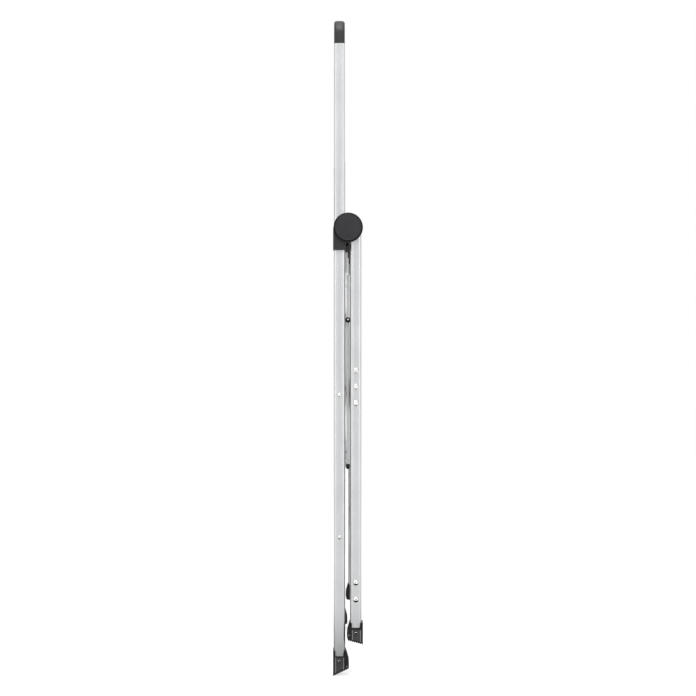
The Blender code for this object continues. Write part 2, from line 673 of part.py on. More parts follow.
def make_lift_bar():
    """Bar between the two tie rods, which is pulled up to fold the ladder."""
    end = ROD_X - ROD_RADIUS - GAP
    centre = (ROD_Y, ROD_TOP - LIFT_BAR_RADIUS)
    mesh = cylinder_mesh("X", centre, LIFT_BAR_RADIUS, -end, end)
    mesh.transform(Matrix.Translation((0, -centre[0], -centre[1])))
    return finish_object("lift_bar", mesh, (0, *centre), "zinc_steel", bail)


def cranked_bar(first, second, radius):
    """Outline of a bar that rises straight from one pin, then turns across to the other."""
    elbow = (first[0], second[1])
    inner = (elbow[0] - 2 * radius, elbow[1] - 2 * radius)
    return (arc(first, radius, 180, 360, 8) + arc(elbow, radius, 0, 90, 6)
            + arc(second, radius, 90, 270, 8) + arc(inner, radius, 90, 0, 5))


def make_side_link():
    """Cranked link from the rear leg's pin to the middle step's pin, behind the rear leg while folded."""
    pin = (ROD_Y, STEP_PIVOTS["middle"] + pin_distance())
    link = prism("right_side_link", [cranked_bar(LINK_PIVOT, pin, LINK_RADIUS)], LINK_INNER, LINK_OUTER,
                 "zinc_steel", link_axes["right"])
    drill(link, [LINK_PIVOT, pin], RIVET_SHANK + PIN_CLEARANCE, LINK_INNER - OVERSHOOT,
          LINK_OUTER + OVERSHOOT)
    return link


def make_link_pin():
    """Capped pin in the link's upper eye."""
    seat = LINK_OUTER + GAP
    face = LEG_INNER - GAP
    profile = [(0, face), (0.0036, face), (0.0046, face - 0.0006), (0.0046, seat), (0.0023, seat),
               (0.0023, LINK_INNER + GAP), (0, LINK_INNER + GAP)]
    centre = (ROD_Y, STEP_PIVOTS["middle"] + pin_distance())
    return turned("right_link_pin", profile, centre, "black_plastic", link_axes["right"])


# ---------------------------------------------------------------- assembly

materials = {name: make_material(name) for name in FINISHES}

front_frame = make_axis("front_frame", 0, 0)
rear_frame = make_axis("rear_fold_axis", *HUB, front_frame)
step_axes = {name: make_axis(f"{name}_step_axis", FRONT_Y, z, front_frame) for name, z in STEP_PIVOTS.items()}
bail = make_axis("bail_axis", ROD_Y, STEP_PIVOTS["middle"] + pin_distance(), step_axes["middle"])
link_axes = {side: make_axis(f"{side}_link_axis", *LINK_PIVOT, rear_frame) for side in ("right", "left")}

for right in [make_front_leg(), make_post(), make_corner(), make_hub_housing(), make_hub_cap(),
              make_hub_bolt(), make_front_foot(),
              make_foot_screw("right_front_foot_screw", FRONT_SCREW, front_frame)]:
    make_left(right, front_frame)
for step in STEP_PIVOTS:
    make_left(make_step_pivot(step), front_frame)
make_rail()

for right in [make_rear_leg(), make_hinge_plate(), make_link_pivot(), make_rear_foot(),
              make_foot_screw("right_rear_foot_screw", REAR_SCREW, rear_frame)]:
    make_left(right, rear_frame)
for brace, heights in BRACE_RIVETS.items():
    make_brace(brace)
    for place, height in zip(("top", "bottom"), heights):
        make_left(make_brace_rivet(f"right_{brace}_brace_{place}_rivet", height), rear_frame)

for step in STEP_PIVOTS:
    make_step(step)
    make_mat(step)
for step in ("middle", "bottom"):
    make_left(make_bracket(step), step_axes[step])

make_left(make_tie_rod(), bail)
make_lift_bar()
for right in [make_side_link(), make_link_pin()]:
    make_left(right, link_axes["left"])
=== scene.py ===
"""Studio scene of a folding stepladder, folded flat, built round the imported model.

Metres, +Z up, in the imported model's own frame. X runs across the ladder, and -Y is the climbing side.
Pieces are shaped on the right-hand side, +X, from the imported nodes' boxes, and mirrored for the left.
"""
import json
import math
from functools import partial

import bmesh
import bpy
from mathutils import Matrix, Vector

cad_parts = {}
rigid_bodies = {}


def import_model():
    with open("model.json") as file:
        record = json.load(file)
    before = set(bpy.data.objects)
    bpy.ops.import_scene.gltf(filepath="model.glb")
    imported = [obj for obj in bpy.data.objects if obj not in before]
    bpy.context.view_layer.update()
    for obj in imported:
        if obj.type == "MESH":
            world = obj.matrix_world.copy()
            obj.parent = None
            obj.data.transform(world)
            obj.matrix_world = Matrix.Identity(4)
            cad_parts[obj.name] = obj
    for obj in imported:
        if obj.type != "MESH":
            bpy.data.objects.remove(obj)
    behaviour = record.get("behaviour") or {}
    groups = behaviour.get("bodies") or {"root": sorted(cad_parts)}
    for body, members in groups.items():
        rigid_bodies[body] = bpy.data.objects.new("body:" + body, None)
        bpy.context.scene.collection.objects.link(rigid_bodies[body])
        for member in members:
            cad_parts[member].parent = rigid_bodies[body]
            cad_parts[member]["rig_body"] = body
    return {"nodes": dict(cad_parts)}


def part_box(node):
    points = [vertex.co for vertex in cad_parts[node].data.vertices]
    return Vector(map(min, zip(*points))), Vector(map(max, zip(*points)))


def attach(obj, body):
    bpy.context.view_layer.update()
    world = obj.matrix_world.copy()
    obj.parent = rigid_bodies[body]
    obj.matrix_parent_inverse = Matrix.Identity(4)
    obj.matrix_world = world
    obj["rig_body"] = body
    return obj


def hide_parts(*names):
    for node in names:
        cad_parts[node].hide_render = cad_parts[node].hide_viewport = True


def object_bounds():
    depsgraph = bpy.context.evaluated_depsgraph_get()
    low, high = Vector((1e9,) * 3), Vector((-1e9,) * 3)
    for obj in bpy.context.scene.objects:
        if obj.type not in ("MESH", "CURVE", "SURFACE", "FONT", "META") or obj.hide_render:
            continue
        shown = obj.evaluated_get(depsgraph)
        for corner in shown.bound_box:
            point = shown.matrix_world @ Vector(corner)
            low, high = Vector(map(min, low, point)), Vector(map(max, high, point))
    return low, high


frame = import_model()
cad_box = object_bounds()

SIDES = ("right", "left")
STEPS = ("top", "middle", "bottom")
FEET = ("front", "rear")

# Camera: level, square on to the right-hand side
CAMERA_DISTANCE = 2.53
CAMERA_HEIGHT = 0.590
CAMERA_OFFSET = -0.018
CAMERA_LENS = 72.7

# Studio floor: its grey, its glow, and the shade on it that only reflections see. The shade goes from
# white at its rim to dark over SHADE_FADE of its radius
FLOOR_RADIUS = 12.0
FLOOR_GREY = 0.3
FLOOR_GLOW = 0.7
SHADE_RADIUS = 0.48
SHADE_FADE = 0.22
SHADE_LIGHT = 0.02

# Soft lights: (name, place, size, power)
LIGHTS = [
    ("front soft light", (1.75, -1.95, 0.9), (0.9, 2.4), 11.0),
    ("back soft light", (1.75, 1.95, 0.9), (0.9, 2.4), 11.0),
    ("near soft light", (1.9, 0.0, 3.6), (0.5, 1.0), 84.0),
    ("top soft light", (0.3, 0.0, 3.0), (2.0, 2.0), 24.0),
]

# Extrusions: corner radius, wall, and the two fine grooves that border each wide face
LEG_CORNER = 0.0058
RAIL_CORNER = 0.0045
TUBE_WALL = 0.0016
GROOVE_INSET = 0.0006
GROOVE_WIDTH = 0.0008
GROOVE_DEPTH = 0.00025
CORNER_STEPS = 8

# Turned pieces
TURN_STEPS = 96
SMALL_TURN_STEPS = 32
DOME_STEPS = 7
SMALL_DOME_STEPS = 5

# Rivets and pins: dimple, shank, and the set head at a rivet's inner end as shares of the outer head
RIVET_DIMPLE = 0.0011
DIMPLE_DEPTH = 0.0006
DIMPLE_EDGE = 0.0001
SHANK_RADIUS = 0.0023
TAIL_HEIGHT = 0.0012
TAIL_BASE = 0.76
TAIL_TOP = 0.62
PIVOT_HEAD = 0.0036
SHOULDER_LENGTH = 0.0101
COLLAR_SHARE = 0.84

# How far pieces that meet overlap or stand apart
TOUCH = 0.0003

# Hub bolt: thread, nut and washer
BOLT_RADIUS = 0.0040
NUT_RADIUS = 0.0070
NUT_HEIGHT = 0.0024
WASHER_RADIUS = 0.0078

# Foot screws: bevelled head edge, cone-shaped recess in the head, and the plug of painted shade in the
# recess
SCREW_EDGE = 0.0003
SCREW_FACE = 0.0004
RECESS_RADIUS = 0.0016
RECESS_DEPTH = 0.0011
HOLE_PROUD = 0.0001

# Bright pin end in the side link's black cap, set above its middle, which also paints the cap's highlight
PIN_COVER = 0.0004
STUD_RADIUS = 0.0019
STUD_PROUD = 0.0006
STUD_RISE = 0.0006
STUD_SINK = 0.0008

# Tie rods: eyes, and the plastic tip that closes each lower end
EYE_RADIUS = 0.0052
EYE_HALF = 0.0022
TIP_RADIUS = 0.0034
TIP_LENGTH = 0.0095

# Plug in the rear leg's open top, and the two rivets that hold its hinge plate
PLUG_HEIGHT = 0.0022
PLUG_DEPTH = 0.012
PLATE_RIVET = 0.0042
PLATE_RIVET_HEIGHT = 0.0012
PLATE_RIVET_PLACES = (0.0875, 0.3375)

# Hub cap: how far its face bulges, the raised lip round the face, and the painted-shade ring outside the
# lip
CAP_BULGE = 0.0006
CAP_LIP = 0.0005
CAP_LIP_WIDTH = 0.0014
CAP_RING = 0.0021
CAP_RING_DROP = 0.0012
CAP_STEPS = 8

# Feet: sole angles in degrees, which way along Y the heel lies from the toe, tread bars, the panel on
# the outer face and the button by the heel
SOLE_ANGLES = {"front": 25.2, "rear": -14.8}
HEEL_WAYS = {"front": 1, "rear": -1}
TREAD_DEPTH = 0.0014
TREAD_CLEARANCE = 0.00003
TREAD_PITCH = 0.0036
TREAD_GAP = 0.0009
PANEL_HEIGHT = 0.0004
PANEL_SLOPE = 0.01
BEAD_WIDTH = 0.0018
BEAD_HEIGHT = 0.0005
PANEL_MARGIN = 0.0035
PANEL_WIDTH = 0.0163
PANEL_FOOT = 0.0036
PANEL_COLLAR = 0.0118
BUTTON_RADIUS = 0.0011
BUTTON_PLACE = (0.0034, 0.0165)

# Edge rounding by kind of piece
PIN_EDGE = 0.0002
PLATE_EDGE = 0.0004
MOULDED_EDGE = 0.0008
FOOT_EDGE = 0.0006

# Tab on the front leg's inner face, under the hub
STOP_TOP = 0.7640
STOP_BOTTOM = 0.7254
STOP_ON_LEG = 0.0052
STOP_PROUD = 0.0050
STOP_CORNER = 0.0021
STOP_THICK = 0.0016

# Mats: ribs that run along the step, inside a plain border. Shares of the pitch say where the valley
# before a rib starts, and where the rib does and ends
RIB_PITCH = 0.0035
RIB_HEIGHT = 0.0007
VALLEY_START = 0.10
RIB_START = 0.25
RIB_END = 0.90
MAT_BORDER = 0.0045

# Faces that meet at more than this angle, in degrees, keep a sharp edge
SHARP_ANGLE = 32


# ---------------------------------------------------------------- materials

# Drawn aluminium: fine lines, stretched along the extrusion, and their share in the tone over broad clouds
LINE_SCALE = 1500
LINE_STRETCH = 0.012
LINE_SHARE = 0.35
LINE_DEPTH = 0.00003
LINE_ROUGHNESS = (0.34, 0.44)
CLOUD_SCALE = 14

# Moulded plastic and rubber: slow changes of tone, and a speckle half as deep as the grain
TONE_SCALE = 40
SPECKLE_SCALE = 900
SPECKLE_STRENGTH = 0.6
FOOT_GRAIN = 1500
PLASTIC_GRAIN = 1700

# Plated steel: spangle, and scratches in every direction
SPANGLE_SCALE = 220
SCRATCH_SCALE = 700
SCRATCH_STRETCH = (1.0, 0.15, 0.4)
SCRATCH_DEPTH = 0.00002
SMOOTH_SCRATCH_DEPTH = 0.000005


def noise(tree, scale, stretch=(1, 1, 1), detail=2.0):
    """Noise in the piece's own coordinates, stretched along its lines."""
    coordinates = tree.nodes.new("ShaderNodeTexCoord")
    mapping = tree.nodes.new("ShaderNodeMapping")
    mapping.inputs["Scale"].default_value = stretch
    texture = tree.nodes.new("ShaderNodeTexNoise")
    texture.inputs["Scale"].default_value = scale
    texture.inputs["Detail"].default_value = detail
    tree.links.new(coordinates.outputs["Object"], mapping.inputs["Vector"])
    tree.links.new(mapping.outputs["Vector"], texture.inputs["Vector"])
    return texture.outputs["Fac"]


def cells(tree, scale):
    """Small rounded cells, for moulded grain and zinc spangle."""
    coordinates = tree.nodes.new("ShaderNodeTexCoord")
    texture = tree.nodes.new("ShaderNodeTexVoronoi")
    texture.feature = "SMOOTH_F1"
    texture.inputs["Scale"].default_value = scale
    tree.links.new(coordinates.outputs["Object"], texture.inputs["Vector"])
    return texture.outputs["Distance"]


def ramp(tree, factor, stops):
    """Colours picked by a factor from (position, colour) stops."""
    node = tree.nodes.new("ShaderNodeValToRGB")
    for element, (position, colour) in zip(node.color_ramp.elements, stops):
        element.position = position
        element.color = (*colour, 1.0)
    tree.links.new(factor, node.inputs["Fac"])
    return node.outputs["Color"]


def spread(tree, factor, low, high):
    """A factor between 0.3 and 0.7 spread over a range of values."""
    node = tree.nodes.new("ShaderNodeMapRange")
    for socket, value in (("From Min", 0.3), ("From Max", 0.7), ("To Min", low), ("To Max", high)):
        node.inputs[socket].default_value = value
    tree.links.new(factor, node.inputs["Value"])
    return node.outputs["Result"]


def relief(tree, height, distance, strength=1.0, under=None):
    """Bump from a height, on top of another bump if one is given."""
    node = tree.nodes.new("ShaderNodeBump")
    node.inputs["Distance"].default_value = distance
    node.inputs["Strength"].default_value = strength
    tree.links.new(height, node.inputs["Height"])
    if under:
        tree.links.new(under, node.inputs["Normal"])
    return node.outputs["Normal"]


def new_material(name, metallic, specular):
    """Empty material, and the shader that the patterns go into."""
    material = bpy.data.materials.new(name)
    material.use_nodes = True
    shader = material.node_tree.nodes["Principled BSDF"]
    shader.inputs["Metallic"].default_value = metallic
    shader.inputs["Specular IOR Level"].default_value = specular
    return material, material.node_tree, shader


def drawn_aluminium(name, line_axis, dark, light):
    """Satin anodised extrusion: drawing lines along one axis over faint clouds."""
    material, tree, shader = new_material(name, 1.0, 0.5)
    along = tuple(LINE_STRETCH if axis == line_axis else 1.0 for axis in "XYZ")
    lines = noise(tree, LINE_SCALE, along, 3.0)
    clouds = noise(tree, CLOUD_SCALE, detail=4.0)
    tone = tree.nodes.new("ShaderNodeMath")
    tone.operation = "MULTIPLY_ADD"
    tone.inputs[1].default_value = LINE_SHARE
    tree.links.new(lines, tone.inputs[0])
    cloud_share = tree.nodes.new("ShaderNodeMath")
    cloud_share.operation = "MULTIPLY"
    cloud_share.inputs[1].default_value = 1 - LINE_SHARE
    tree.links.new(clouds, cloud_share.inputs[0])
    tree.links.new(cloud_share.outputs[0], tone.inputs[2])
    tree.links.new(ramp(tree, tone.outputs[0], [(0.35, dark), (0.65, light)]), shader.inputs["Base Color"])
    tree.links.new(spread(tree, lines, *LINE_ROUGHNESS), shader.inputs["Roughness"])
    tree.links.new(relief(tree, lines, LINE_DEPTH), shader.inputs["Normal"])
    return material


def moulded(name, dark, light, roughness, grain, depth, specular):
    """Moulded plastic or rubber: spark-eroded grain, and slow changes of tone."""
    material, tree, shader = new_material(name, 0.0, specular)
    tone = noise(tree, TONE_SCALE, detail=5.0)
    speckle = noise(tree, SPECKLE_SCALE)
    tree.links.new(ramp(tree, tone, [(0.35, dark), (0.70, light)]), shader.inputs["Base Color"])
    tree.links.new(spread(tree, speckle, roughness - 0.05, roughness + 0.07), shader.inputs["Roughness"])
    coarse = relief(tree, cells(tree, grain), depth)
    tree.links.new(relief(tree, speckle, depth / 2, SPECKLE_STRENGTH, coarse), shader.inputs["Normal"])
    return material


def plated_steel(name, dark, light, roughness, metallic=1.0, depth=SCRATCH_DEPTH):
    """Zinc-plated steel: faint spangle, and fine scratches in every direction."""
    material, tree, shader = new_material(name, metallic, 0.5)
    spangle = cells(tree, SPANGLE_SCALE)
    scratches = noise(tree, SCRATCH_SCALE, SCRATCH_STRETCH, 6.0)
    tree.links.new(ramp(tree, spangle, [(0.1, dark), (0.8, light)]), shader.inputs["Base Color"])
    tree.links.new(spread(tree, scratches, roughness - 0.05, roughness + 0.08), shader.inputs["Roughness"])
    tree.links.new(relief(tree, scratches, depth), shader.inputs["Normal"])
    return material


# Each look is a material slot of the record and the material that shows it. Colours run from dark to light
LOOKS = {
    "leg": ("leg_aluminium",
            drawn_aluminium("Leg aluminium", "Z", (0.52, 0.525, 0.53), (0.58, 0.585, 0.59))),
    "rail": ("leg_aluminium",
             drawn_aluminium("Rail aluminium", "X", (0.52, 0.525, 0.53), (0.58, 0.585, 0.59))),
    "step": ("step_aluminium",
             drawn_aluminium("Step aluminium", "X", (0.54, 0.545, 0.55), (0.61, 0.615, 0.62))),
    "mat": ("mat_rubber",
            moulded("Mat rubber", (0.016, 0.016, 0.017), (0.030, 0.030, 0.031), 0.74, 1300, 0.00010, 0.35)),
    "foot": ("foot_rubber",
             moulded("Foot rubber", (0.024, 0.024, 0.025), (0.036, 0.036, 0.037), 0.58,
                     FOOT_GRAIN, 0.00006, 0.32)),
    # Darker copy of the foot rubber, as painted shade, for each foot's body round its panel
    "shaded_foot": ("foot_rubber",
             moulded("Foot rubber in painted shade", (0.008, 0.008, 0.008), (0.014, 0.014, 0.014), 0.60,
                     FOOT_GRAIN, 0.00006, 0.20)),
    # Far lighter copy of the foot rubber, as painted highlights, for the beads on each panel's edges
    "highlit_bead": ("foot_rubber",
             moulded("Bead rubber, painted highlight", (0.110, 0.110, 0.112), (0.150, 0.150, 0.152), 0.50,
                     FOOT_GRAIN, 0.00004, 0.45)),
    # Darker copy of the foot rubber, as painted shade, for the tread bars under each sole
    "tread": ("foot_rubber",
              moulded("Tread rubber in painted shade", (0.004, 0.004, 0.004), (0.009, 0.009, 0.009), 0.70,
                      FOOT_GRAIN, 0.00008, 0.12)),
    # Blacker than the cap, as painted shade: the ring round the hub cap and the plug in each foot screw's
    # recess
    "rim": ("cap_plastic",
            moulded("Painted shade black", (0.003, 0.003, 0.003), (0.006, 0.006, 0.006), 0.55,
                    PLASTIC_GRAIN, 0.00004, 0.10)),
    "plastic": ("black_plastic",
                moulded("Black plastic", (0.011, 0.011, 0.012), (0.017, 0.017, 0.018), 0.48,
                        PLASTIC_GRAIN, 0.00005, 0.30)),
    "cap": ("cap_plastic",
            moulded("Cap plastic", (0.011, 0.011, 0.013), (0.016, 0.016, 0.018), 0.44,
                    PLASTIC_GRAIN, 0.00005, 0.30)),
    "rivet": ("rivet_steel",
              plated_steel("Rivet steel", (0.58, 0.58, 0.575), (0.70, 0.70, 0.695), 0.17)),
    "screw": ("screw_steel",
              plated_steel("Screw steel", (0.34, 0.34, 0.35), (0.46, 0.46, 0.47), 0.28)),
    "zinc": ("zinc_steel",
             plated_steel("Zinc steel", (0.72, 0.725, 0.73), (0.77, 0.775, 0.77), 0.34, 0.45,
                          SMOOTH_SCRATCH_DEPTH)),
    "coated": ("black_steel",
               moulded("Coated steel", (0.010, 0.010, 0.011), (0.016, 0.016, 0.017), 0.42,
                       1100, 0.00003, 0.38)),
}


# ---------------------------------------------------------------- adding pieces

def add_piece(name, mesh, look, body, replaced=(), side="right", bevel=0.0):
    """Puts a mesh that is shaped on the right-hand side into the scene, as one piece of the object."""
    slot, material = LOOKS[look]
    mesh.name = name
    if side == "left":
        mesh.transform(Matrix.Scale(-1, 4, (1, 0, 0)))
        mesh.flip_normals()
    mesh.materials.append(material)
    mesh.shade_smooth()
    mesh.set_sharp_from_angle(angle=math.radians(SHARP_ANGLE))
    piece = bpy.data.objects.new(name, mesh)
    bpy.context.scene.collection.objects.link(piece)
    if bevel:
        rounding = piece.modifiers.new("Rounded edges", "BEVEL")
        rounding.width = bevel
        rounding.segments = 3
        rounding.limit_method = "ANGLE"
        rounding.angle_limit = math.radians(SHARP_ANGLE)
        rounding.harden_normals = True
    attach(piece, body)
    if replaced:
        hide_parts(*replaced)
    return piece


def stand_in(node, mesh, look, side="right", bevel=0.0):
    """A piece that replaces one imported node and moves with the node's body."""
    return add_piece(f"{node}_fine", mesh, look, frame["nodes"][node]["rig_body"], (node,), side, bevel)


def on_both_sides(name, build, look, bevel=0.0):
    """A stand-in for the right-hand node of this name, and its mirror image for the left-hand one."""
    for side in SIDES:
        stand_in(f"{side}_{name}", build(f"right_{name}"), look, side, bevel)


def middle(node):
    """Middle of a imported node's box."""
    low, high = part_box(node)
    return (low + high) / 2


# ---------------------------------------------------------------- mesh building

def arc(centre, radius, start, end, steps):
    """Points on a circle from start to end, in degrees."""
    angles = [math.radians(start + (end - start) * i / steps) for i in range(steps + 1)]
    return [(centre[0] + radius * math.cos(a), centre[1] + radius * math.sin(a)) for a in angles]


def mesh_of(work):
    """Finished mesh of a bmesh, with its normals outward."""
    bmesh.ops.recalc_face_normals(work, faces=work.faces)
    mesh = bpy.data.meshes.new("piece")
    work.to_mesh(mesh)
    work.free()
    return mesh


def bridge(work, first, second):
    """Faces between two closed rings of vertices."""
    for i in range(len(first)):
        after = (i + 1) % len(first)
        work.faces.new((first[i], first[after], second[after], second[i]))


def solid_between(ends):
    """Closed solid between two outlines, each a list of as many points."""
    work = bmesh.new()
    rings = [[work.verts.new(point) for point in end] for end in ends]
    bridge(work, *rings)
    for ring in rings:
        work.faces.new(ring)
    return mesh_of(work)


def tube_section(half_wide, half_deep, corner, groove_depth):
    """Closed outline of an extrusion, with two grooves on each of the faces at +-half_wide."""
    flat = half_deep - corner
    groove = flat - GROOVE_INSET
    face = []
    for centre in (-groove, groove):
        face += [(half_wide, centre - GROOVE_WIDTH / 2), (half_wide - groove_depth, centre),
                 (half_wide, centre + GROOVE_WIDTH / 2)]
    half = face + arc((half_wide - corner, flat), corner, 0, 90, CORNER_STEPS)
    half += arc((corner - half_wide, flat), corner, 90, 180, CORNER_STEPS)
    return half + [(-u, -v) for u, v in half]


def tube_mesh(node, corner, axis):
    """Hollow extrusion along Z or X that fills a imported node's box."""
    low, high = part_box(node)
    centre, half = (low + high) / 2, (high - low) / 2
    wide, deep, long = (0, 1, 2) if axis == "Z" else (1, 2, 0)
    outer = tube_section(half[wide], half[deep], corner, GROOVE_DEPTH)
    inner = tube_section(half[wide] - TUBE_WALL, half[deep] - TUBE_WALL, corner - TUBE_WALL, 0)
    work = bmesh.new()
    rings = []
    for loop, ends in ((outer, (low, high)), (inner, (high, low))):
        for end in ends:
            ring = []
            for u, v in loop:
                point = Vector(centre)
                point[wide] += u
                point[deep] += v
                point[long] = end[long]
                ring.append(work.verts.new(point))
            rings.append(ring)
    for i, ring in enumerate(rings):
        bridge(work, ring, rings[(i + 1) % len(rings)])
    return mesh_of(work)


def leg_mesh(node):
    """Leg or post extrusion, which stands upright."""
    return tube_mesh(node, LEG_CORNER, "Z")


def lathe(profile, centre, steps=SMALL_TURN_STEPS, axis="X"):
    """Turned solid about an axis through centre, from a (place, radius) profile that ends on the axis."""
    work = bmesh.new()
    x, y, z = (Vector(way) for way in ((1, 0, 0), (0, 1, 0), (0, 0, 1)))
    along, first_way, second_way = (x, y, z) if axis == "X" else (z, x, y)
    rings = []
    for place, radius in profile:
        origin = Vector(centre) * (Vector((1, 1, 1)) - along) + along * place
        if radius == 0:
            rings.append([work.verts.new(origin)])
            continue
        angles = [math.tau * i / steps for i in range(steps)]
        spokes = [math.cos(a) * first_way + math.sin(a) * second_way for a in angles]
        rings.append([work.verts.new(origin + radius * spoke) for spoke in spokes])
    for first, second in zip(rings, rings[1:]):
        if len(first) == 1 or len(second) == 1:
            tip, ring = (first[0], second) if len(first) == 1 else (second[0], first)
            for i in range(steps):
                work.faces.new((tip, ring[i], ring[(i + 1) % steps]))
        else:
            bridge(work, first, second)
    return mesh_of(work)


def dome(top, seat, radius, steps=DOME_STEPS):
    """Profile of a domed head, from its top on the axis to its rim on the seat."""
    height = abs(top - seat)
    ball = (radius ** 2 + height ** 2) / (2 * height)
    reach = math.degrees(math.asin(radius / ball))
    out = 1 if top > seat else -1
    return [(top - out * ball * (1 - math.cos(math.radians(a))), ball * math.sin(math.radians(a)))
            for a in [reach * i / steps for i in range(steps + 1)]]


def packed_mesh(node):
    """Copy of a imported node's shape, with its faces joined up again so that its edges can be rounded."""
    source = frame["nodes"][node].data
    copy = bpy.data.meshes.new("copy")
    copy.from_pydata([v.co for v in source.vertices], [], [p.vertices[:] for p in source.polygons])
    work = bmesh.new()
    work.from_mesh(copy)
    bpy.data.meshes.remove(copy)
    bmesh.ops.remove_doubles(work, verts=work.verts, dist=2e-6)
    bmesh.ops.dissolve_limit(work, angle_limit=math.radians(1), verts=work.verts, edges=work.edges)
    return mesh_of(work)


def rivet_mesh(node):
    """Domed rivet with a punched dimple, and a flat set head at its inner end."""
    low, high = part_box(node)
    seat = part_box("right_rear_leg")[1].x
    radius = (high.z - low.z) / 2
    head = [(x, r) for x, r in dome(high.x, seat, radius) if r > RIVET_DIMPLE]
    dimple = [(high.x - DIMPLE_DEPTH, 0), (high.x - DIMPLE_DEPTH + DIMPLE_EDGE, RIVET_DIMPLE / 2),
              (high.x - DIMPLE_EDGE, RIVET_DIMPLE)]
    tail = low.x + TAIL_HEIGHT
    shank = [(seat, SHANK_RADIUS), (tail, SHANK_RADIUS), (tail, radius * TAIL_BASE),
             (low.x, radius * TAIL_TOP), (low.x, 0)]
    return lathe(dimple + head + shank, middle(node))


def step_pivot_mesh(node):
    """Small domed pin head outside the leg, and the shoulder between the leg and the step's bracket."""
    low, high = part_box(node)
    inside, seat = (corner.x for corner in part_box("right_front_leg"))
    shoulder = (high.z - low.z) / 2
    outer = inside - TOUCH
    inner = outer - SHOULDER_LENGTH
    head = dome(high.x, seat, PIVOT_HEAD) if high.x > seat else [(high.x, 0), (high.x, SHANK_RADIUS)]
    pin = [(head[-1][0], SHANK_RADIUS), (outer, SHANK_RADIUS), (outer, shoulder), (inner, shoulder),
           (inner, SHANK_RADIUS), (low.x, SHANK_RADIUS), (low.x, 0)]
    return lathe(head + pin, middle(node))


def hub_cap_mesh(node):
    """Round cap: a faintly bulging face inside a rounded raised lip."""
    low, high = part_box(node)
    radius = (high.z - low.z) / 2 - CAP_RING
    flat = radius - CAP_LIP_WIDTH
    crown = high.x - CAP_LIP
    shares = [i / CAP_STEPS for i in range(CAP_STEPS + 1)]
    face = [(crown - CAP_BULGE * share ** 2, flat * share) for share in shares]
    edge = crown - CAP_BULGE
    lip = [(edge + CAP_LIP * math.sin(a), flat + CAP_LIP_WIDTH * (1 - math.cos(a)) / 2)
           for a in (math.radians(degrees) for degrees in range(20, 181, 20))]
    return lathe(face + lip + [(low.x + TOUCH, radius), (low.x + TOUCH, 0)], middle(node), TURN_STEPS)


def cap_ring_mesh(node):
    """Ring round the hub cap, falling away from the lip to the housing, in a blacker look as painted shade.
    """
    low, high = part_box(node)
    radius = (high.z - low.z) / 2
    inner = radius - CAP_RING
    top = high.x - CAP_LIP - CAP_BULGE
    slope = [(top - CAP_RING_DROP * (1 - math.cos(a)), inner + CAP_RING * math.sin(a))
             for a in (math.radians(degrees) for degrees in range(0, 91, 15))]
    return ring_mesh(slope + [(low.x, radius), (low.x, inner)], middle(node))


def ring_mesh(section, centre):
    """Closed ring about an axis along X, from its (place, radius) section."""
    work = bmesh.new()
    rings = []
    for place, radius in section:
        angles = [math.tau * i / TURN_STEPS for i in range(TURN_STEPS)]
        spokes = [(radius * math.cos(a), radius * math.sin(a)) for a in angles]
        rings.append([work.verts.new((place, centre.y + y, centre.z + z)) for y, z in spokes])
    for i, ring in enumerate(rings):
        bridge(work, ring, rings[(i + 1) % len(rings)])
    return mesh_of(work)


def joined(meshes):
    """One mesh of several closed ones."""
    work = bmesh.new()
    for mesh in meshes:
        work.from_mesh(mesh)
        bpy.data.meshes.remove(mesh)
    return mesh_of(work)


def bolt_mesh(node):
    """Hub bolt with a washer and a hexagon nut at its inner end."""
    low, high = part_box(node)
    centre = middle(node)
    head = (high.z - low.z) / 2
    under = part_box("right_hub_cap")[0].x
    washer = low.x + NUT_HEIGHT
    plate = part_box("right_rear_hinge_plate")[0].x - TOUCH
    shank = [(high.x, 0), (high.x, head), (under, head), (under, BOLT_RADIUS),
             (low.x, BOLT_RADIUS), (low.x, 0)]
    nut = [(washer, 0), (washer, NUT_RADIUS), (low.x, NUT_RADIUS), (low.x, 0)]
    ring = [(plate, 0), (plate, WASHER_RADIUS), (washer, WASHER_RADIUS), (washer, 0)]
    return joined([lathe(shank, centre), lathe(nut, centre, 6), lathe(ring, centre)])


def screw_mesh(node):
    """Pan head screw with a deep cone for a recess."""
    low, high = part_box(node)
    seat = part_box("right_front_foot")[1].x
    radius = (high.z - low.z) / 2
    floor = high.x - RECESS_DEPTH
    profile = [(floor, 0), (floor, RECESS_RADIUS), (high.x, radius - SCREW_FACE),
               (high.x - SCREW_EDGE, radius), (seat, radius), (seat, radius / 2),
               (low.x, radius / 2), (low.x, 0)]
    return lathe(profile, middle(node))


def screw_recess_shade_mesh(foot):
    """Dark plug at the bottom of a foot screw's recess, as painted shade in the recess."""
    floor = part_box(f"right_{foot}_foot_screw")[1].x - RECESS_DEPTH
    place = floor + HOLE_PROUD
    profile = [(place, 0), (place, RECESS_RADIUS + HOLE_PROUD), (floor - HOLE_PROUD, RECESS_RADIUS / 2),
               (floor - HOLE_PROUD, 0)]
    return lathe(profile, middle(f"right_{foot}_foot_screw"))


def cut(mesh, place, outward):
    """The part of a closed mesh behind a plane, closed again where it was cut."""
    work = bmesh.new()
    work.from_mesh(mesh)
    everything = work.verts[:] + work.edges[:] + work.faces[:]
    bmesh.ops.bisect_plane(work, geom=everything, plane_co=place, plane_no=outward, clear_outer=True)
    bmesh.ops.holes_fill(work, edges=[edge for edge in work.edges if edge.is_boundary], sides=0)
    return mesh_of(work)


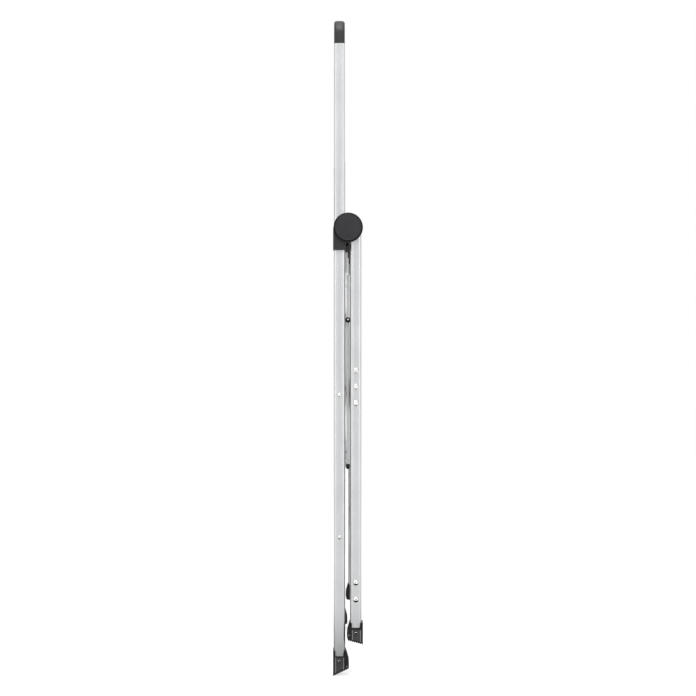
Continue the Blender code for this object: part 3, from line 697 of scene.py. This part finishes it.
def sole_frame(foot):
    """A point on a foot's sole, at its toe, with the ways along the sole and square to it."""
    low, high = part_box(f"right_{foot}_foot")
    angle = math.radians(SOLE_ANGLES[foot])
    toe = Vector((0, low.y if foot == "front" else high.y, low.z))
    along = Vector((0, math.cos(angle), math.sin(angle))) * HEEL_WAYS[foot]
    return toe, along, Vector((0, -math.sin(angle), math.cos(angle)))


def foot_body_mesh(node):
    """Foot above its tread."""
    toe, _, up = sole_frame("front" if "front" in node else "rear")
    return cut(packed_mesh(node), toe + up * TREAD_DEPTH, -up)


def tread_mesh(foot):
    """Bars of tread across a foot's sole, which take a darker rubber as painted shade."""
    toe, along, up = sole_frame(foot)
    layer = cut(packed_mesh(f"right_{foot}_foot"), toe + up * (TREAD_DEPTH - TREAD_CLEARANCE), up)
    reach = max((vertex.co - toe).dot(along) for vertex in layer.vertices)
    bars = []
    for number in range(math.ceil(reach / TREAD_PITCH)):
        start = toe + along * number * TREAD_PITCH
        bar = cut(layer, start, -along) if number else layer.copy()
        bars.append(cut(bar, start + along * (TREAD_PITCH - TREAD_GAP), along))
    return joined(bars)


def foot_strip_mesh(foot, start, end, section):
    """Upright strip on a foot's outer face, up to its collar, between two distances from the toe."""
    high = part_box(f"right_{foot}_foot")[1]
    toe, along, _ = sole_frame(foot)
    lower, upper = [], []
    for across, proud in section:
        y = toe.y + HEEL_WAYS[foot] * (start + across * (end - start))
        sole = toe.z + (y - toe.y) * along.z / along.y
        lower.append((high.x + proud, y, sole + PANEL_FOOT))
        upper.append((high.x + proud, y, high.z - PANEL_COLLAR))
    return solid_between((lower, upper))


def foot_panel_mesh(foot):
    """Flat raised panel on a foot's outer face."""
    section = [(0, -TOUCH), (PANEL_SLOPE, PANEL_HEIGHT), (1 - PANEL_SLOPE, PANEL_HEIGHT), (1, -TOUCH)]
    return foot_strip_mesh(foot, PANEL_MARGIN, PANEL_MARGIN + PANEL_WIDTH, section)


def foot_beads_mesh(foot):
    """Rounded beads down the front and back edges of a foot's panel, in a lighter rubber as painted
    highlights.
    """
    ridge = [((1 - math.cos(a)) / 2, PANEL_HEIGHT + BEAD_HEIGHT * math.sin(a))
             for a in (math.radians(degrees) for degrees in range(0, 181, 20))]
    section = [(0, 0)] + ridge + [(1, 0)]
    first, last = PANEL_MARGIN, PANEL_MARGIN + PANEL_WIDTH
    return joined([foot_strip_mesh(foot, first, first + BEAD_WIDTH, section),
                   foot_strip_mesh(foot, last - BEAD_WIDTH, last, section)])


def foot_button_mesh(foot):
    """Small button low on the heel's outer face."""
    low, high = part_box(f"right_{foot}_foot")
    heel = high.y if foot == "front" else low.y
    centre = Vector((0, heel - HEEL_WAYS[foot] * BUTTON_PLACE[0], low.z + BUTTON_PLACE[1]))
    seat = high.x - TOUCH
    profile = dome(high.x + PANEL_HEIGHT, seat, BUTTON_RADIUS, SMALL_DOME_STEPS) + [(seat, 0)]
    return lathe(profile, centre)


def link_pivot_mesh(node):
    """Domed pin through the rear leg, with the collars that hold the side link."""
    low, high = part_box(node)
    inside, seat = (corner.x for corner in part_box("right_rear_leg"))
    link_low, link_high = (corner.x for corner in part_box("right_side_link"))
    collar = COLLAR_SHARE * (high.z - low.z) / 2
    profile = dome(high.x, seat, (high.z - low.z) / 2) + [
        (seat, SHANK_RADIUS), (inside - TOUCH, SHANK_RADIUS), (inside - TOUCH, collar),
        (link_high + TOUCH, collar), (link_high + TOUCH, SHANK_RADIUS), (link_low - TOUCH, SHANK_RADIUS),
        (link_low - TOUCH, collar), (low.x, collar), (low.x, 0)]
    return lathe(profile, middle(node))


def link_pin_mesh(node):
    """Black cap over the pin that joins the side link to the middle step."""
    low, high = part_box(node)
    radius = (high.z - low.z) / 2 + PIN_COVER
    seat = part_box("right_side_link")[1].x + TOUCH
    profile = dome(high.x, seat, radius) + [(seat, SHANK_RADIUS), (low.x, SHANK_RADIUS), (low.x, 0)]
    return lathe(profile, middle(node))


def link_stud_mesh():
    """Bright pin end in its black cap, set a little above the middle so that it also paints the cap's
    highlight.
    """
    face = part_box("right_link_pin")[1].x
    seat = face - STUD_SINK
    profile = dome(face + STUD_PROUD, seat, STUD_RADIUS, SMALL_DOME_STEPS) + [(seat, 0)]
    return lathe(profile, middle("right_link_pin") + Vector((0, 0, STUD_RISE)))


def rod_eyes():
    """Middles of the tie rod's two eyes: on the link's pin, and one step lower."""
    upper = middle("right_link_pin")
    upper.x = middle("right_tie_rod").x
    spacing = middle("right_middle_step_pivot").z - middle("right_bottom_step_pivot").z
    return upper, upper - Vector((0, 0, spacing))


def rod_mesh(node):
    """Smooth round rod, with an eye on each stud that it hangs from."""
    low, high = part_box(node)
    radius = (high.x - low.x) / 2
    bottom = low.z + TIP_LENGTH / 2
    rod = lathe([(bottom, 0), (bottom, radius), (high.z, radius), (high.z, 0)], rod_eyes()[0], axis="Z")
    eyes = []
    for eye in rod_eyes():
        outer, inner = eye.x + EYE_HALF, eye.x - EYE_HALF
        eyes.append(lathe([(outer, 0), (outer, EYE_RADIUS), (inner, EYE_RADIUS), (inner, 0)], eye))
    return joined([rod, *eyes])


def rod_tip_mesh():
    """Rounded plastic tip on a tie rod's lower end."""
    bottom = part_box("right_tie_rod")[0].z
    ball = arc((bottom + TIP_RADIUS, 0), TIP_RADIUS, 180, 90, 6)
    top = bottom + TIP_LENGTH
    profile = [(place, max(radius, 0)) for place, radius in ball] + [(top, TIP_RADIUS), (top, 0)]
    return lathe(profile, rod_eyes()[1], axis="Z")


def lift_bar_mesh():
    """Smooth round bar between the tie rods."""
    low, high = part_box("lift_bar")
    radius = (high.z - low.z) / 2
    return lathe([(low.x, 0), (low.x, radius), (high.x, radius), (high.x, 0)], middle("lift_bar"))


def leg_plug_mesh():
    """Plug in the open top of a rear leg: a lid on the end, and a shank inside."""
    low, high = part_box("right_rear_leg")
    wall = TUBE_WALL + TOUCH
    lid = tube_section((high.x - low.x) / 2, (high.y - low.y) / 2, LEG_CORNER, 0)
    shank = tube_section((high.x - low.x) / 2 - wall, (high.y - low.y) / 2 - wall, LEG_CORNER - wall, 0)
    centre = (low + high) / 2
    return joined([prism(lid, centre, high.z + TOUCH, high.z + TOUCH + PLUG_HEIGHT),
                   prism(shank, centre, high.z - PLUG_DEPTH, high.z + TOUCH)])


def prism(section, centre, low, high):
    """Upright solid with a closed (x, y) outline round a centre."""
    return solid_between([[(centre.x + x, centre.y + y, z) for x, y in section] for z in (low, high)])


def plate_rivets_mesh():
    """Two flat rivets through a hinge plate into the rear leg."""
    low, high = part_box("right_rear_hinge_plate")
    leg = middle("right_rear_leg")
    inner = low.x - PLATE_RIVET_HEIGHT
    places = [low.z + share * (high.z - low.z) for share in PLATE_RIVET_PLACES]
    profile = dome(inner, low.x, PLATE_RIVET) + [(low.x + TOUCH, PLATE_RIVET), (low.x + TOUCH, 0)]
    return joined([lathe(profile, (leg.x, leg.y, z)) for z in places])


def leg_stop_mesh():
    """Round-cornered tab on the front leg's inner face, under the hub, that stands out behind the leg."""
    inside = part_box("right_front_leg")[0].x - TOUCH
    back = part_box("right_front_leg")[1].y
    near, far = back - STOP_ON_LEG + STOP_CORNER, back + STOP_PROUD - STOP_CORNER
    bottom, top = STOP_BOTTOM + STOP_CORNER, STOP_TOP - STOP_CORNER
    outline = []
    for centre, start in (((far, top), 0), ((near, top), 90), ((near, bottom), 180), ((far, bottom), 270)):
        outline += arc(centre, STOP_CORNER, start, start + 90, 6)
    return solid_between([[(x, *point) for point in outline] for x in (inside - STOP_THICK, inside)])


def mat_mesh(node):
    """Rubber mat with round ribs along the step inside a plain border."""
    low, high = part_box(node)
    top, base = low.y, high.y
    valley = top + RIB_HEIGHT
    first, last = low.z + MAT_BORDER, high.z - MAT_BORDER
    count = round((last - first) / RIB_PITCH)
    pitch = (last - first) / count
    section = [(base, low.z), (top, low.z), (top, first)]
    for rib in range(count):
        start = first + rib * pitch
        section += [(valley, start + VALLEY_START * pitch)]
        section += [(valley - RIB_HEIGHT * math.sin(math.radians(a)),
                     start + pitch * (RIB_START + (RIB_END - RIB_START) * a / 180))
                    for a in range(0, 181, 30)]
    section += [(top, last), (top, high.z), (base, high.z)]
    return solid_between([[(x, y, z) for y, z in section] for x in (low.x, high.x)])


# ---------------------------------------------------------------- legs, posts and hand rail

for tube in ("front_leg", "rear_leg", "handrail_post"):
    on_both_sides(tube, leg_mesh, "leg")
stand_in("handrail_bar", tube_mesh("handrail_bar", RAIL_CORNER, "X"), "rail")

for name in ("handrail_corner", "hub_housing"):
    on_both_sides(name, packed_mesh, "plastic", MOULDED_EDGE)
for name in ("middle_step_bracket", "bottom_step_bracket"):
    on_both_sides(name, packed_mesh, "step", MOULDED_EDGE)
on_both_sides("side_link", packed_mesh, "zinc", PLATE_EDGE)
on_both_sides("rear_hinge_plate", packed_mesh, "coated", PLATE_EDGE)
for name in ("upper_rear_brace", "lower_rear_brace"):
    stand_in(name, packed_mesh(name), "rail", bevel=PLATE_EDGE)
for step in STEPS:
    stand_in(f"{step}_step", packed_mesh(f"{step}_step"), "step", bevel=PLATE_EDGE)
    stand_in(f"{step}_step_mat", mat_mesh(f"{step}_step_mat"), "mat")
    on_both_sides(f"{step}_step_pivot", step_pivot_mesh, "rivet")

for brace in ("upper", "lower"):
    for place in ("top", "bottom"):
        on_both_sides(f"{brace}_brace_{place}_rivet", rivet_mesh, "rivet")
on_both_sides("hub_cap", hub_cap_mesh, "cap")
on_both_sides("hub_bolt", bolt_mesh, "coated", PIN_EDGE)
for foot in FEET:
    on_both_sides(f"{foot}_foot_screw", screw_mesh, "screw")
on_both_sides("link_pivot", link_pivot_mesh, "rivet", PIN_EDGE)
on_both_sides("tie_rod", rod_mesh, "zinc", PIN_EDGE)
stand_in("lift_bar", lift_bar_mesh(), "zinc", bevel=PIN_EDGE)

# Foot bodies take the darker rubber, as painted shade; the panels on their outer faces keep the plain one
for foot in FEET:
    on_both_sides(f"{foot}_foot", foot_body_mesh, "shaded_foot", FOOT_EDGE)
on_both_sides("link_pin", link_pin_mesh, "plastic")

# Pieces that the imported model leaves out: (name, builder, look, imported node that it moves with, edge)
EXTRAS = [
    ("rod_tip", rod_tip_mesh, "plastic", "tie_rod", 0),
    ("leg_plug", leg_plug_mesh, "plastic", "rear_leg", PLATE_EDGE),
    ("plate_rivets", plate_rivets_mesh, "rivet", "rear_leg", 0),
    ("leg_stop", leg_stop_mesh, "zinc", "front_leg", PIN_EDGE),
    # The ring round the hub cap is blacker than the cap: painted shade
    ("hub_cap_ring", partial(cap_ring_mesh, "right_hub_cap"), "rim", "hub_cap", 0),
    ("link_stud", link_stud_mesh, "zinc", "link_pin", 0),
]
for foot in FEET:
    EXTRAS += [
        (f"{foot}_tread", partial(tread_mesh, foot), "tread", f"{foot}_foot", 0),
        (f"{foot}_foot_panel", partial(foot_panel_mesh, foot), "foot", f"{foot}_foot", 0),
        (f"{foot}_foot_beads", partial(foot_beads_mesh, foot), "highlit_bead", f"{foot}_foot", 0),
        (f"{foot}_foot_button", partial(foot_button_mesh, foot), "screw", f"{foot}_foot", 0),
        # The plug in each screw's recess is painted shade
        (f"{foot}_screw_hole", partial(screw_recess_shade_mesh, foot), "rim", f"{foot}_foot", 0),
    ]
for name, build, look, node, edge in EXTRAS:
    for side in SIDES:
        body = frame["nodes"][f"{side}_{node}"]["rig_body"]
        add_piece(f"{side}_{name}", build(), look, body, side=side, bevel=edge)


# ---------------------------------------------------------------- studio

def make_floor():
    """Pale round floor under the ladder, which glows a little so that shadows on it stay faint."""
    work = bmesh.new()
    bmesh.ops.create_circle(work, cap_ends=True, segments=96, radius=FLOOR_RADIUS)
    floor = bpy.data.objects.new("floor", mesh_of(work))
    material = bpy.data.materials.new("Pale floor")
    material.use_nodes = True
    shader = material.node_tree.nodes["Principled BSDF"]
    shader.inputs["Base Color"].default_value = (FLOOR_GREY, FLOOR_GREY, FLOOR_GREY, 1.0)
    shader.inputs["Emission Color"].default_value = (1.0, 1.0, 1.0, 1.0)
    shader.inputs["Emission Strength"].default_value = FLOOR_GLOW
    shader.inputs["Roughness"].default_value = 1.0
    shader.inputs["Specular IOR Level"].default_value = 0.0
    floor.data.materials.append(material)
    bpy.context.scene.collection.objects.link(floor)


def make_floor_shade():
    """Dark spot on the floor that only reflections show, as the shade under a real stand would."""
    work = bmesh.new()
    bmesh.ops.create_circle(work, cap_ends=True, segments=64, radius=SHADE_RADIUS,
                            matrix=Matrix.Translation((0, 0, TOUCH)))
    shade = bpy.data.objects.new("floor_shade", mesh_of(work))
    material = bpy.data.materials.new("Floor shade")
    material.use_nodes = True
    tree = material.node_tree
    coordinates = tree.nodes.new("ShaderNodeTexCoord")
    scaling = tree.nodes.new("ShaderNodeMapping")
    scaling.inputs["Scale"].default_value = (1 / SHADE_RADIUS,) * 3
    gradient = tree.nodes.new("ShaderNodeTexGradient")
    gradient.gradient_type = "SPHERICAL"
    glow = tree.nodes.new("ShaderNodeEmission")
    tree.links.new(coordinates.outputs["Object"], scaling.inputs["Vector"])
    tree.links.new(scaling.outputs["Vector"], gradient.inputs["Vector"])
    stops = [(0.0, (1.0, 1.0, 1.0)), (SHADE_FADE, (SHADE_LIGHT, SHADE_LIGHT, SHADE_LIGHT))]
    light = ramp(tree, gradient.outputs["Fac"], stops)
    tree.links.new(light, glow.inputs["Color"])
    tree.links.new(glow.outputs["Emission"], tree.nodes["Material Output"].inputs["Surface"])
    shade.data.materials.append(material)
    bpy.context.scene.collection.objects.link(shade)
    shade.visible_camera = False
    shade.visible_diffuse = False
    shade.visible_shadow = False
    shade.visible_transmission = False


def make_light(name, place, size, power):
    """Soft rectangular light, turned to the middle of the ladder, that the camera doesn't see."""
    light = bpy.data.lights.new(name, "AREA")
    light.shape = "RECTANGLE"
    light.size, light.size_y = size
    light.energy = power
    lamp = bpy.data.objects.new(name, light)
    lamp.location = place
    target = Vector((0, 0, CAMERA_HEIGHT))
    lamp.rotation_euler = (target - lamp.location).to_track_quat("-Z", "Y").to_euler()
    lamp.visible_camera = False
    bpy.context.scene.collection.objects.link(lamp)


def make_camera():
    """Level camera, square on to the right-hand side of the ladder."""
    low, high = cad_box
    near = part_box("right_front_leg")[1].x
    data = bpy.data.cameras.new("camera")
    data.lens = CAMERA_LENS
    camera = bpy.data.objects.new("camera", data)
    camera.location = (near + CAMERA_DISTANCE, CAMERA_OFFSET, CAMERA_HEIGHT)
    aim = Vector((near, (low.y + high.y) / 2, CAMERA_HEIGHT)) - camera.location
    camera.rotation_euler = aim.to_track_quat("-Z", "Y").to_euler()
    bpy.context.scene.collection.objects.link(camera)
    bpy.context.scene.camera = camera


make_floor()
make_floor_shade()
make_camera()
for name, place, size, power in LIGHTS:
    make_light(name, place, size, power)

world = bpy.data.worlds.new("studio")
world.use_nodes = True
world.node_tree.nodes["Background"].inputs["Color"].default_value = (1.0, 1.0, 1.0, 1.0)
bpy.context.scene.world = world
bpy.context.scene.view_settings.view_transform = "Standard"
